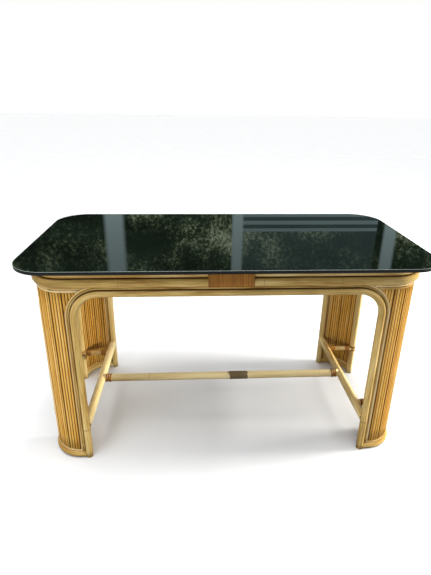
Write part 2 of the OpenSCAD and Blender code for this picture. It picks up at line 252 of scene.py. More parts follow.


# Whole poles keep their skin. The stretchers and the top pole get a paler copy of the pole colours, which is
# painted light: it lifts the top pole out of the glass's shade and stands for the light the stretchers catch.
POLE = rattan("lacquered_rattan_pole", "#F2D38E", "#D6B266", "#A07638", joint="#5E3412",
              patch="#B59C56", groove_stain_and_shade_colour="#4A2C08", rough=0.34, fibre_mm=3.6)
POLE_PAINTED_LIGHTER = rattan("lacquered_pole_with_painted_light", "#FBE6AE", "#E6C886", "#B98F4A", joint="#6A3C16",
                   patch="#D9BE7A", groove_stain_and_shade_colour="#5A3810", rough=0.34, fibre_mm=3.6)
# Pencil reed is even and golden. Between the reeds it darkens with stain and with painted shade.
REED = rattan("lacquered_pencil_reed", "#FBCD78", "#ECB550", "#CB8E34", joint="#7A4A1E",
              patch="#E6A844", groove_stain_and_shade_colour="#522C02", rough=0.38,
              groove_from=0.62, fibre_mm=1.8, tone_range=0.14)
# The reeds that frame the legs are peeled, so they are the palest.
PEELED = rattan("lacquered_peeled_reed", "#F6DCA4", "#E9C888", "#CCA05A", joint="#8A5C2A",
                patch="#ECCB84", groove_stain_and_shade_colour="#6A430E", rough=0.36, groove_from=0.86)
# Split cane took a brown stain. The strip on the stretcher has greyed in the weather.
CANE = rattan("stained_split_cane", "#C98C3E", "#A36D2B", "#734A18", joint="#4A2810",
              patch="#B07028", groove_stain_and_shade_colour="#351B05", rough=0.42)
OLD_CANE = rattan("greyed_split_cane", "#8F7B58", "#7B684B", "#5A4A30", joint="#4A3D2A",
                  patch="#726444", groove_stain_and_shade_colour="#3A3020", rough=0.55)

# %% [markdown]
# ## A pole
# Each pole starts as a ring of points, made by create_circle. Extruding the ring and
# moving it makes a straight stretch. Extruding it and turning it about a centre makes a
# bend, as steaming does. At every step the ring may swell a little, because a vine is never
# turned true: it is thickest at a joint. That is one way for straight poles, arches and
# rings alike, and the grain attribute is written as the ring goes along.

# %% The pole builder
draw = random.Random(7)
# A joint shows as a ring this wide to each side of its middle, and swells the pole a little.
RING_HALF = 0.0035
RING_STEPS = (-RING_HALF, -0.0012, 0, 0.0012, RING_HALF)
SWELL = 0.03
# Rings of points closer together than this are left out.
CLOSEST = 0.0004
# No pole is longer than this, and each takes its grain from its own place in a wide field.
LONGEST, FIELD = 6, 9
# The pale rim of a sawn end, as a share of its radius.
CAP_RIM = 0.12


class Pole:
    """A round pole that is drawn forward through straights and bends."""

    def __init__(self, mesh, start, direction, d, sides, knot_gap=0.0, tone=None, side_hint=Z,
                 grooves=(), knots=()):
        self.mesh = mesh
        vectors, numbers = mesh.verts.layers.float_vector, mesh.verts.layers.float
        self.grain = vectors.get("grain") or vectors.new("grain")
        self.knot = numbers.get("knot") or numbers.new("knot")
        self.shade = vectors.get("shade") or vectors.new("shade")
        self.r, self.sides = d / 2, sides
        self.grooves = [math.radians(a) for a in grooves]
        self.tone = draw.random() if tone is None else tone
        self.here, self.way = Vector(start), Vector(direction).normalized()
        self.up = (side_hint - self.way * side_hint.dot(self.way)).normalized()
        self.travel = 0.0
        self.offset = Vector([draw.uniform(0, FIELD) for _ in range(3)])
        self.knots = list(knots)
        self.swell = 1.0
        if knot_gap:
            place = draw.uniform(0.1, 0.9) * knot_gap
            while place < LONGEST:
                self.knots.append((place, draw.uniform(0.25, 0.6)))
                place += knot_gap * draw.uniform(0.75, 1.25)
        ring = bmesh.ops.create_circle(mesh, radius=self.r, segments=sides)["verts"]
        across = self.way.cross(self.up)
        turn = Matrix((self.up, across, self.way)).transposed().to_4x4()
        bmesh.ops.transform(mesh, matrix=Matrix.Translation(self.here) @ turn, verts=ring)
        self.ring = sorted(ring, key=lambda v: self.angle(v.co))
        self.first = list(self.ring)
        self.write(self.ring)

    def angle(self, place):
        """Where a point stands round the pole, which keeps the points of each ring in order."""
        out = place - self.here
        return math.atan2(out.dot(self.way.cross(self.up)), out.dot(self.up)) % math.tau

    def near_knot(self, s):
        """How strongly a joint shows at s along the pole."""
        return max((force * max(0.0, 1.0 - abs(s - k) / RING_HALF) for k, force in self.knots), default=0.0)

    def write(self, ring):
        """Writes the three attributes on a new ring."""
        for i, vert in enumerate(ring):
            a = math.tau * i / self.sides
            vert[self.grain] = self.offset + Vector((math.cos(a) * self.r, math.sin(a) * self.r, self.travel))
            vert[self.knot] = self.near_knot(self.travel)
            groove = max((math.cos(a - g) for g in self.grooves), default=0.0)
            vert[self.shade] = Vector((self.tone, max(0.0, groove), 0.0))

    def step(self, matrix, length):
        """Extrudes the ring and moves it on, and swells it where a joint is."""
        edges = [self.mesh.edges.get((a, b)) for a, b in zip(self.ring, self.ring[1:] + self.ring[:1])]
        made = bmesh.ops.extrude_edge_only(self.mesh, edges=edges)["geom"]
        ring = [v for v in made if isinstance(v, bmesh.types.BMVert)]
        bmesh.ops.transform(self.mesh, matrix=matrix, verts=ring)
        self.here = matrix @ self.here
        self.way = (matrix.to_3x3() @ self.way).normalized()
        self.up = (matrix.to_3x3() @ self.up).normalized()
        self.travel += length
        swell = 1 + SWELL * self.near_knot(self.travel)
        if swell != self.swell:
            bmesh.ops.scale(self.mesh, vec=Vector((1, 1, 1)) * swell / self.swell,
                            space=Matrix.Translation(-self.here), verts=ring)
            self.swell = swell
        self.ring = sorted(ring, key=lambda v: self.angle(v.co))
        self.write(self.ring)

    def straight(self, length, step=0.03):
        count = max(1, round(length / step))
        stops = [k - self.travel for k, _ in self.knots if 0 < k - self.travel < length]
        rings = {p + d for p in stops for d in RING_STEPS if 0 < p + d < length}
        done = 0.0
        for place in sorted({length} | {length * i / count for i in range(1, count)} | rings):
            if place - done > CLOSEST:
                self.step(Matrix.Translation(self.way * (place - done)), place - done)
                done = place
        return self

    def bend(self, centre, axis, degrees, step=6):
        count = max(1, round(abs(degrees) / step))
        turn = Matrix.Rotation(math.radians(degrees / count), 4, axis)
        move = Matrix.Translation(centre) @ turn @ Matrix.Translation(-Vector(centre))
        length = abs(math.radians(degrees / count)) * (self.here - Vector(centre)).length
        for _ in range(count):
            self.step(move, length)
        return self

    def close(self):
        """Caps both ends. Inside a narrow rim a sawn end gets the full groove colour: dark open pores, and
        painted shade that keeps the cut end from showing light.
        """
        for ring in (self.first, self.ring):
            edges = [self.mesh.edges.get((a, b)) for a, b in zip(ring, ring[1:] + ring[:1])]
            cap = bmesh.ops.contextual_create(self.mesh, geom=edges)["faces"]
            bmesh.ops.inset_region(self.mesh, faces=cap, thickness=self.r * CAP_RIM, depth=0.0)
            # The inner cap takes the full groove colour, partly open pores and partly painted shade.
            for vert in cap[0].verts:
                vert[self.shade] = Vector((self.tone, 1.0, 0.0))


def copies(mesh, left=False, back=False):
    """The front right piece, moved to another corner by a mirror."""
    scale = Matrix.Diagonal((-1 if left else 1, -1 if back else 1, 1, 1))
    bmesh.ops.transform(mesh, matrix=scale, verts=mesh.verts[:])


def cut(mesh, point, normal):
    """Cuts off all that lies beyond a plane, and closes the cut."""
    geom = mesh.verts[:] + mesh.edges[:] + mesh.faces[:]
    made = bmesh.ops.bisect_plane(mesh, geom=geom, plane_co=point, plane_no=normal, clear_outer=True,
                                  dist=1e-6)
    edges = [e for e in made["geom_cut"] if isinstance(e, bmesh.types.BMEdge)]
    if edges:
        bmesh.ops.holes_fill(mesh, edges=edges, sides=0)


def join(into, other):
    """Copies one bmesh into another."""
    data = bpy.data.meshes.new("part")
    other.to_mesh(data)
    other.free()
    into.from_mesh(data)
    bpy.data.meshes.remove(data)


def finish(mesh, name, material, node, body="table_frame"):
    """Makes the object: quads shade smooth, and the flat ends and the faces of the glass don't."""
    bmesh.ops.recalc_face_normals(mesh, faces=mesh.faces[:])
    data = bpy.data.meshes.new(name)
    for face in mesh.faces:
        face.smooth = len(face.verts) < 5
    mesh.to_mesh(data)
    mesh.free()
    data.materials.append(material)
    piece = bpy.data.objects.new(name, data)
    bpy.context.collection.objects.link(piece)
    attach(piece, body)
    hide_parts(node)
    print(f"{name}: {len(data.polygons)} faces")


# %% [markdown]
# ## The two rails
# The upper rail and the main rail are rings of pole, each in two halves that meet behind
# the cane wraps at the middle of the long sides. A half is drawn as it is bent: along one
# long side, round a corner, across the end, round the next corner and back.

# %% Rails


def half_ring(name, node, d, back, z, left, material):
    mesh = bmesh.new()
    pole = Pole(mesh, (GAP / 2, -(SIDE_Y - back), z), X, d, sides=20, knot_gap=0.31, grooves=(0, 180))
    pole.straight(CORNER_X - GAP / 2).bend((CORNER_X, -CORNER_Y, z), Z, 90)
    pole.straight(2 * CORNER_Y).bend((CORNER_X, CORNER_Y, z), Z, 90)
    pole.straight(CORNER_X - GAP / 2).close()
    copies(mesh, left)
    finish(mesh, name, material, node)


for side in ("right", "left"):
    left = side == "left"
    half_ring(f"{side}_top_pole", f"upper_rail_{side}", UPPER_D, UPPER_BACK, UPPER_Z, left, POLE_PAINTED_LIGHTER)
    half_ring(f"{side}_main_pole", f"main_rail_{side}", MAIN_D, 0, MAIN_Z, left, POLE)

# %% [markdown]
# ## The arches
# On each side a pole stands up from the floor, bends at the top, runs along under the
# rail, and comes down again. A thinner reed follows the outside of the arch. The arches
# of the short ends stand where the corner begins to turn.

# %% Arches and their trim reeds


def arch_line(mesh, origin, along, half_w, out, foot, d, sides, knots=()):
    """One post, bend, crown, bend and post, in the plane of an arch."""
    outward = along.cross(Z)
    bend_at = half_w - BEND_R
    start = Vector(origin) - along * (half_w + out) + Z * foot
    grooves = (0,) if out == 0 else (0, 180)
    pole = Pole(mesh, start, Z, d, sides, side_hint=-along, grooves=grooves, knots=knots)
    pole.straight(BEND_Z - foot)
    pole.bend(Vector(origin) - along * bend_at + Z * BEND_Z, outward, -90, step=5)
    pole.straight(2 * bend_at)
    pole.bend(Vector(origin) + along * bend_at + Z * BEND_Z, outward, -90, step=5)
    pole.straight(BEND_Z - foot).close()


# How high a leaf joint shows on the first and on the last post of an arch.
FIRST_JOINT, LAST_JOINT = 0.124, 0.126
PLANES = {
    "front": ((0, -SIDE_Y, 0), X, LONG_POST),
    "back": ((0, SIDE_Y, 0), X, LONG_POST),
    "right": ((END_PLANE, 0, 0), Y, END_POST),
    "left": ((-END_PLANE, 0, 0), Y, END_POST),
}
for side, (origin, along, half_w) in PLANES.items():
    mesh = bmesh.new()
    run = 2 * BEND_Z + math.pi * BEND_R + 2 * (half_w - BEND_R)
    faint = (draw.uniform(0.9, 1.3) * run / 2, 0.35)
    joints = [(FIRST_JOINT, 1.0), (run - LAST_JOINT, 1.0), faint]
    arch_line(mesh, origin, along, half_w, out=0, foot=0, d=ARCH_D, sides=18, knots=joints)
    finish(mesh, f"{side}_arch_pole", POLE, f"{side}_arch")
    mesh = bmesh.new()
    arch_line(mesh, origin, along, half_w, TRIM_OUT, foot=HOOP_D + GAP, d=TRIM_D + 2 * GAP, sides=12)
    finish(mesh, f"{side}_arch_reed", POLE, f"{side}_arch_trim")

# %% [markdown]
# ## Loose glass
# The top is a single plate of smoked, tempered glass with ground and polished edges. It
# isn't fixed: it lies on clear vinyl bumpers, so it can be lifted straight off. The plate
# is a cube whose four upright edges are bevelled to the corner radius, and then all its
# arrises get the fine polished bevel, whose pale line is a painted highlight.

# %% Glass
# The radius of the plate's corners, and the width of the polished arris.
GLASS_R, ARRIS = 0.115, 0.0012


def smoked_glass():
    """Nearly black, with clouds of thin dust 200 mm wide, specks of grit of 2 mm, and a pale painted
    highlight on the arris.
    """
    material, tree, shader = new_material("smoked_tempered_glass")
    place = add(tree, "ShaderNodeTexCoord").outputs["Object"]
    dust = add(tree, "ShaderNodeTexNoise", {"Scale": 5.0, "Detail": 3.0}, {"Vector": place}).outputs["Fac"]
    small = {"Scale": 420.0, "Detail": 1.0}
    specks = add(tree, "ShaderNodeTexNoise", small, {"Vector": place}).outputs["Fac"]
    body = ramp(tree, dust, (0.35, "#070B08"), (0.75, "#0E1511"))
    # The arris is all that leans, so the slope of the surface tells where it is. There a pale grey is painted
    # into the base colour as a highlight line.
    normal = add(tree, "ShaderNodeTexCoord").outputs["Normal"]
    lean = add(tree, "ShaderNodeSeparateXYZ", links={"Vector": normal}).outputs["Z"]
    arris_with_painted_highlight = ramp(tree, lean, (0.12, 0.0), (0.30, 1.0), (0.90, 1.0), (0.98, 0.0))
    tree.links.new(mix(tree, arris_with_painted_highlight, body, "#7A8580"), shader.inputs["Base Color"])
    haze = maths(tree, "MULTIPLY_ADD", dust, 0.016, 0.004)
    haze = maths(tree, "ADD", haze, maths(tree, "MULTIPLY", arris_with_painted_highlight, 0.3))
    grit = maths(tree, "MULTIPLY", ramp(tree, specks, (0.70, 0.0), (0.78, 1.0)), 0.12)
    tree.links.new(maths(tree, "ADD", haze, grit), shader.inputs["Roughness"])
    shader.inputs["IOR"].default_value = 1.52
    return material


GLASS = smoked_glass()
mesh = bmesh.new()
size = [span("glass_top", axis) for axis in range(3)]
centre = [middle("glass_top", axis) for axis in range(3)]
bmesh.ops.create_cube(mesh, size=1.0, matrix=Matrix.Translation(centre) @ Matrix.Diagonal((*size, 1)))
upright = [e for e in mesh.edges if abs(e.verts[0].co.z - e.verts[1].co.z) > ARRIS]
bmesh.ops.bevel(mesh, geom=upright, offset=GLASS_R, segments=24, profile=0.5, affect="EDGES", material=-1)
rims = [e for e in mesh.edges if abs(e.verts[0].co.z - e.verts[1].co.z) < ARRIS]
bmesh.ops.bevel(mesh, geom=rims, offset=ARRIS, segments=3, profile=0.5, affect="EDGES", material=-1)
finish(mesh, "glass_plate", GLASS, "glass_top", body="glass")

# %% [markdown]
# ## Places along a leg's corner
# A leg's reeds stand on the line of the frame round its corner. A place on that line is
# given by s, which is 0 where the arc starts, negative along the side and past the arc's
# length along the end.

# %% The corner line
CORNER_L = CORNER_R * math.pi / 2


def arc_s(off):
    return math.asin(off / CORNER_R) * CORNER_R


def corner_place(s):
    """The place at s, and the outward direction there."""
    if s < 0:
        return Vector((CORNER_X + s, -SIDE_Y, 0)), -Y
    if s > CORNER_L:
        return Vector((END_X, -CORNER_Y + s - CORNER_L, 0)), X.copy()
    a = s / CORNER_R - math.pi / 2
    out = Vector((math.cos(a), math.sin(a), 0))
    return Vector((CORNER_X, -CORNER_Y, 0)) + out * CORNER_R, out


FRONT_BEND = Vector((LONG_POST - BEND_R, -SIDE_Y, BEND_Z))
END_BEND = Vector((END_PLANE, -(END_POST - BEND_R), BEND_Z))
WINDOW_OUT = BORDER_OUT + BORDER_D / 2 + GAP
ROW_START = arc_s(LONG_POST + WINDOW_OUT + REED_D / 2 - CORNER_X)
ROW_L = CORNER_L - arc_s(END_POST + WINDOW_OUT + REED_D / 2 - CORNER_Y) - ROW_START
ROW_COUNT = math.floor(ROW_L / (REED_D + GAP))
PITCH = ROW_L / ROW_COUNT
print(f"{ROW_COUNT + 1} full reeds every {PITCH * 1000:.2f} mm")

# %% [markdown]
# ## Reeds of a leg
# Pencil reed is thin rattan, about as thick as a pencil. The long ones fill the shell of
# the leg between the two border reeds. Short ones fill the corner over the bend, with
# feet scribed to the curve of the border reed. Each is a straight pole here, given a
# slight crook of its own, and a plane cuts its foot to the curve.

# %% Reeds
# How far a reed's crook leaves the line, and over what length it fades at the ends.
CROOK, FADE = 0.0003, 0.06
# Short reeds are let this far into the border reed, and all run this far up behind the rail.
LET_IN, BEHIND_RAIL = 0.002, 0.003


def scribe(place, bend, across):
    """Where a reed at this place meets the curve round a bend: a height, and the way in."""
    off = abs((place - bend).dot(across))
    if off >= WINDOW_R:
        return 0.0, None
    height = math.sqrt(WINDOW_R**2 - off**2)
    toward = -(across * off + Z * height).normalized()
    return bend.z + height, toward


def reed_row(mesh):
    beyond = math.ceil(BEND_R / PITCH)
    for i in range(-beyond, ROW_COUNT + beyond + 1):
        place, out = corner_place(ROW_START + i * PITCH)
        lines = scribe(place, FRONT_BEND, X), scribe(place, END_BEND, -Y)
        foot, toward = max(lines, key=lambda line: line[0])
        if foot > REED_TOP - REED_D / 2:
            continue
        bottom = max(REED_FOOT, foot - 4 * REED_D)
        part = bmesh.new()
        pole = Pole(part, place + Z * bottom, Z, PITCH, sides=12, grooves=(90, 270), side_hint=out)
        pole.straight(REED_TOP + BEHIND_RAIL - bottom, step=0.05).close()
        lean = draw.uniform(-CROOK, CROOK)
        wave, phase = draw.uniform(0.12, 0.3), draw.uniform(0, math.tau)
        for vert in part.verts:
            fade = max(0, min(1, (vert.co.z - REED_FOOT) / FADE, (REED_TOP - vert.co.z) / FADE))
            vert.co -= out * abs(lean * fade * math.sin(vert.co.z / wave * math.tau + phase))
        if toward:
            cut(part, place + Z * foot + toward * LET_IN, toward)
        join(mesh, part)


CORNERS = {
    "front_right": (False, False), "front_left": (True, False),
    "back_right": (False, True), "back_left": (True, True),
}
for corner, (left, back) in CORNERS.items():
    mesh = bmesh.new()
    reed_row(mesh)
    copies(mesh, left, back)
    finish(mesh, f"{corner}_leg_reeds", REED, f"{corner}_reeds")

# %% [markdown]
# ## Border reeds, corner reeds and hoops
# Two border reeds frame the shell of each leg. Each stands on a mitre with a third reed
# along the foot, follows the arch's bend and ends under the main rail. Two more reeds run
# round the corner under the rail. A thick hoop of pole lies on the floor between the
# posts, and the leg stands on it.

# %% Border reeds, corner reeds and hoops


# The border reeds bend a little less than square, and their ends lie hidden under the rail.
BORDER_TURN = -86


def border(corner_mesh):
    foot = BORDER_Z - BORDER_D
    front = Vector((LONG_POST + BORDER_OUT, -SIDE_Y, foot))
    side = Vector((END_PLANE, -(END_POST + BORDER_OUT), foot))
    for start, bend, axis, away in ((front, FRONT_BEND, Y, X), (side, END_BEND, X, -Y)):
        part = bmesh.new()
        pole = Pole(part, start, Z, BORDER_D + 2 * GAP, sides=12, grooves=(0, 180), side_hint=away)
        pole.straight(BEND_Z - foot).bend(bend, axis, BORDER_TURN, step=5).close()
        cut(part, Vector((start.x, start.y, BORDER_Z)), away - Z)
        join(corner_mesh, part)
    part = bmesh.new()
    start = Vector((front.x - BORDER_D, front.y, BORDER_Z))
    pole = Pole(part, start, X, BORDER_D, sides=12, grooves=(180,))
    pole.straight(CORNER_X - start.x)
    reach = 90 - math.degrees(math.asin((END_POST + BORDER_OUT - CORNER_Y - BORDER_D) / CORNER_R))
    pole.bend((CORNER_X, -CORNER_Y, BORDER_Z), Z, reach).close()
    cut(part, Vector((front.x, front.y, BORDER_Z)), Z - X)
    cut(part, Vector((side.x, side.y, BORDER_Z)), Z + Y)
    join(corner_mesh, part)


def corner_reeds(corner_mesh):
    for d, z in ((TRIM_D, UPPER_TRIM_Z), (LOWER_TRIM_D, LOWER_TRIM_Z)):
        off = math.sqrt(WINDOW_R**2 - (z - BEND_Z) ** 2)
        first = Vector((FRONT_BEND.x + off, -SIDE_Y, z))
        last = Vector((END_X, END_BEND.y - off, z))
        part = bmesh.new()
        pole = Pole(part, first - X * d, X, d + GAP, sides=12, grooves=(0, 180))
        pole.straight(CORNER_X - pole.here.x).bend((CORNER_X, -CORNER_Y, z), Z, 90)
        pole.straight(CORNER_Y + last.y + d).close()
        cut(part, first, (FRONT_BEND - first).normalized())
        cut(part, last, (Vector((END_X, END_BEND.y, BEND_Z)) - last).normalized())
        join(corner_mesh, part)


def hoop(corner_mesh):
    start = Vector((LONG_POST + IN_POST, -SIDE_Y, HOOP_D / 2))
    pole = Pole(corner_mesh, start, X, HOOP_D, sides=18, knot_gap=0.12)
    pole.straight(CORNER_X - start.x)
    reach = 90 - math.degrees(math.asin((END_POST + IN_POST - CORNER_Y) / CORNER_R))
    pole.bend((CORNER_X, -CORNER_Y, HOOP_D / 2), Z, reach).close()


for corner, (left, back) in CORNERS.items():
    for name, make, material, slot, node in (
        ("border_reeds", border, PEELED, "pencil_reed", "border"),
        ("corner_reeds", corner_reeds, PEELED, "pencil_reed", "corner_trim"),
        ("foot_hoop", hoop, POLE, "rattan_pole", "hoop"),
    ):
        mesh = bmesh.new()
        make(mesh)
        copies(mesh, left, back)
        finish(mesh, f"{corner}_{name}", material, f"{corner}_{node}")

# %% [markdown]
# ## Stretchers and ties
# A pole joins the front post to the back post at each end. A long one joins these two at
# their middles, and a short tie runs from each end post to the side stretcher. Their ends
# are coped to the pole they meet and held by a screw, so each runs a little way into it.

# %% Stretchers and ties


def cross_pole(name, node, start, way, length, d=STRETCHER_D, knot_gap=0.0):
    mesh = bmesh.new()
    Pole(mesh, start, way, d, 18, knot_gap).straight(length).close()
    finish(mesh, name, POLE_PAINTED_LIGHTER, node)


side_l = 2 * (SIDE_Y - IN_POST)
long_l = 2 * (LONG_POST - IN_POLE)
tie_l = END_PLANE - IN_POST - LONG_POST - IN_POLE
for side, sign in (("right", 1), ("left", -1)):
    start = (sign * LONG_POST, -side_l / 2, STRETCHER_Z)
    cross_pole(f"{side}_side_stretcher", f"{side}_stretcher", start, Y, side_l, knot_gap=0.33)
    for row, y in (("front", -END_POST), ("back", END_POST)):
        start = (sign * (LONG_POST + IN_POLE), y, STRETCHER_Z)
        cross_pole(f"{row}_{side}_end_tie", f"{row}_{side}_tie", start, X * sign, tie_l, d=TIE_D)
start = (-long_l / 2, 0, STRETCHER_Z)
cross_pole("long_stretcher", "centre_stretcher", start, X, long_l, knot_gap=0.36)

# %% [markdown]
# ## Split cane round the joints
# Split cane is the flat skin of rattan, a few millimetres wide and soaked so that it
# winds tight. It hides the butt joints of the rails, and it ties the stretchers. A strip
# is a pole with a flattened ring, wound about a joint while it moves along it.

# %% Cane strips


LOOP_STEPS = 24


class Strip(Pole):
    """A flat strip, wide across its way and thin along its up."""

    def __init__(self, mesh, start, direction, width, thick, side_hint, tone=None):
        super().__init__(mesh, start, direction, width, sides=8, tone=tone, side_hint=side_hint)
        across = self.way.cross(self.up)
        axes = Matrix((self.up, across, self.way)).transposed().to_4x4()
        squeeze = axes @ Matrix.Diagonal((thick / width, 1, 1, 1)) @ axes.inverted()
        squeeze = Matrix.Translation(self.here) @ squeeze @ Matrix.Translation(-self.here)
        bmesh.ops.transform(mesh, matrix=squeeze, verts=self.ring)

    def wind(self, centre, axis, degrees, advance):
        """Winds on round a centre, and moves on by advance while it does."""
        centre = Vector(centre)
        count = max(1, round(degrees * LOOP_STEPS / 360))
        angle = math.radians(degrees / count)
        turn = Matrix.Translation(centre) @ Matrix.Rotation(angle, 4, axis) @ Matrix.Translation(-centre)
        r = (self.here - centre).dot(self.up)
        for _ in range(count):
            self.step(Matrix.Translation(advance / count) @ turn, angle * abs(r))


def band(mesh, centre, axis, r, start, length, width, thick, slant=0.0, turns=None, hand=1, tone=None):
    """A strip wound round a pole along its axis, its loops leaning by slant."""
    hint = Z if abs(axis.z) < 0.5 else X
    middle_r = r + thick / 2
    base = Vector(centre) + axis * start
    strip = Strip(mesh, base + hint * middle_r, axis.cross(hint) * hand, width * 1.04, thick, hint, tone)
    steps = round((turns or length / width) * LOOP_STEPS)
    angle = math.tau / LOOP_STEPS
    turn = Matrix.Translation(base) @ Matrix.Rotation(hand * angle, 4, axis) @ Matrix.Translation(-base)
    for i in range(steps):
        lean = slant * (math.sin(angle * (i + 1)) - math.sin(angle * i))
        strip.step(Matrix.Translation(axis * (length / steps + lean)) @ turn, middle_r * angle)
    strip.close()


WRAP_W, WRAP_T = 0.00375, 0.0013


def rail_wrap(name, node, sign):
    """One strip wound round both rails, like a belt round two wheels, over their joints."""
    mesh = bmesh.new()
    upper = Vector((0, sign * (SIDE_Y - UPPER_BACK), UPPER_Z))
    main = Vector((0, sign * SIDE_Y, MAIN_Z))
    upper_r = UPPER_D / 2 + GAP + WRAP_T / 2
    main_r = MAIN_D / 2 + GAP + WRAP_T / 2
    between = upper - main
    spread = math.degrees(math.acos((main_r - upper_r) / between.length))
    side_run = math.sqrt(between.length**2 - (main_r - upper_r) ** 2)
    low_arc, top_arc = 360 - 2 * spread, 2 * spread
    low_run, top_run = math.radians(low_arc) * main_r, math.radians(top_arc) * upper_r
    loop = 2 * side_run + low_run + top_run
    length = span(node, 0) - WRAP_W
    turns = round(length / WRAP_W)

    def advance(run):
        return X * (length / turns) * run / loop

    up = between.normalized()
    out = Matrix.Rotation(math.radians(spread), 4, X * -sign) @ up
    down = out * up.dot(out) - up
    strip = Strip(mesh, upper + out * upper_r - X * length / 2, down, WRAP_W * 1.03, WRAP_T, out)
    for _ in range(turns):
        for centre, arc, run in ((main, low_arc, low_run), (upper, top_arc, top_run)):
            strip.step(Matrix.Translation(strip.way * side_run + advance(side_run)), side_run)
            strip.wind((strip.here.x, centre.y, centre.z), X * -sign, arc, advance(run))
    strip.close()
    finish(mesh, name, CANE, node)


rail_wrap("front_rail_wrap", "front_wrap", -1)
rail_wrap("back_rail_wrap", "back_wrap", 1)

# %% [markdown]
# ## Bindings on the stretchers
# The ends of the long stretcher are tied with crossing strips, the ties have a few tight
# turns at each end and a lashing round the end post, and a repair of old, greyed cane
# sits on the long stretcher with its loops leaning.

# %% Bindings
STRIP_W, STRIP_T = 0.0042, 0.0011
BIND_L = 0.024
# Clearances of a binding from the stretcher, and from the lashing round a post.
CLEAR, POST_CLEAR = 0.0016, 0.0034
SIGNS = ((1, 1), (1, -1), (-1, 1), (-1, -1))


def node_bands(name, node, pieces, material=CANE):
    mesh = bmesh.new()
    for piece in pieces:
        part = bmesh.new()
        band(part, **piece)
        join(mesh, part)
    finish(mesh, name, material, node)


# On the long stretcher two strips cross, and a narrow one closes each edge.
EDGE_W, EDGE_RUN, EDGE_IN = 0.0034, 0.002, 0.003
pole_r = STRETCHER_D / 2 + GAP
inner_stop = LONG_POST - STRETCHER_D / 2 - CLEAR
common = dict(centre=(0, 0, STRETCHER_Z), axis=X, thick=STRIP_T)
pieces = []
for sign in (1, -1):
    first = inner_stop - BIND_L if sign > 0 else -inner_stop
    for hand, r in ((1, pole_r), (-1, pole_r + GAP)):
        pieces.append(dict(common, r=r, start=first + STRIP_W / 2, length=BIND_L - STRIP_W,
                           width=STRIP_W, turns=2, hand=hand))
    for back in (BIND_L - EDGE_IN, EDGE_IN):
        pieces.append(dict(common, r=pole_r, start=sign * (inner_stop - back) - EDGE_RUN / 2,
                           length=EDGE_RUN, width=EDGE_W, turns=1.1))
node_bands("long_stretcher_bindings", "centre_bindings", pieces)

# Each tie has a tight binding at both ends.
inner = LONG_POST + STRETCHER_D / 2 + CLEAR
outer = END_PLANE - ARCH_D / 2 - POST_CLEAR - BIND_L
common = dict(axis=X, r=TIE_D / 2 + GAP, length=BIND_L - STRIP_W, width=STRIP_W, thick=STRIP_T)
pieces = []
for sx, sy in SIGNS:
    for x in (inner, outer):
        first = x if sx > 0 else -x - BIND_L
        pieces.append(dict(common, centre=(0, sy * END_POST, STRETCHER_Z), start=first + STRIP_W / 2,
                           tone=draw.random()))
node_bands("end_tie_bindings", "tie_bindings", pieces)

# Round an end post a lashing passes above and below the tie.
LASH_L = 2.4 * STRIP_W
reach = span("post_bindings", 2) / 2 - 2.2 * STRIP_W
common = dict(axis=Z, r=ARCH_D / 2 + GAP, length=LASH_L, width=STRIP_W, thick=STRIP_T, turns=2)
pieces = []
for sx, sy in SIGNS:
    for up in (1, -1):
        pieces.append(dict(common, centre=(sx * END_PLANE, sy * END_POST, 0), slant=0.003 * up,
                           start=STRETCHER_Z + up * reach - LASH_L / 2, tone=draw.random()))
node_bands("end_post_lashings", "post_bindings", pieces)

# The greyed strip is wider, and its loops lean.
PATCH_W, PATCH_T, PATCH_END, PATCH_SLANT = 0.0058, 0.0012, 0.009, 0.006
patch = dict(centre=(0, 0, STRETCHER_Z), axis=X, r=pole_r, start=low("stretcher_wrap", 0) + PATCH_END,
             length=span("stretcher_wrap", 0) - 2 * PATCH_END, width=PATCH_W, thick=PATCH_T,
             slant=PATCH_SLANT)
node_bands("greyed_cane_repair", "stretcher_wrap", [patch], OLD_CANE)

# %% [markdown]
# ## Bumpers, dowels and screws
# Clear vinyl bumpers keep the glass off the poles. They, the dowels inside the rails and
# the screws have their exact shapes in the CAD model already, so they stay and only get
# their materials.

# %% Materials for the CAD pieces that stay


def vinyl():
    """Soft and clear, a little cloudy with age."""
    material, tree, shader = new_material("clear_soft_vinyl")
    place = add(tree, "ShaderNodeTexCoord").outputs["Object"]
    cloud = add(tree, "ShaderNodeTexNoise", {"Scale": 160.0, "Detail": 2.0}, {"Vector": place}).outputs["Fac"]
    tree.links.new(ramp(tree, cloud, (0.3, "#DDE3DC"), (0.7, "#F2F4EE")), shader.inputs["Base Color"])
    tree.links.new(maths(tree, "MULTIPLY_ADD", cloud, 0.2, 0.15), shader.inputs["Roughness"])
    shader.inputs["Transmission Weight"].default_value = 0.6
    shader.inputs["IOR"].default_value = 1.53
    return material


def beech():
    """Pale wood with its grain along the dowel."""
    material, tree, shader = new_material("turned_beech_dowel")
    place = add(tree, "ShaderNodeTexCoord").outputs["Object"]
    long_way = add(tree, "ShaderNodeMapping", {"Scale": (60, 900, 900)}, {"Vector": place})
    grain = add(tree, "ShaderNodeTexNoise", {"Scale": 1.0, "Detail": 3.0}, {"Vector": long_way.outputs[0]})
    colour = ramp(tree, grain.outputs["Fac"], (0.3, "#B98A5A"), (0.7, "#D9B183"))
    tree.links.new(colour, shader.inputs["Base Color"])
    shader.inputs["Roughness"].default_value = 0.6
    return material


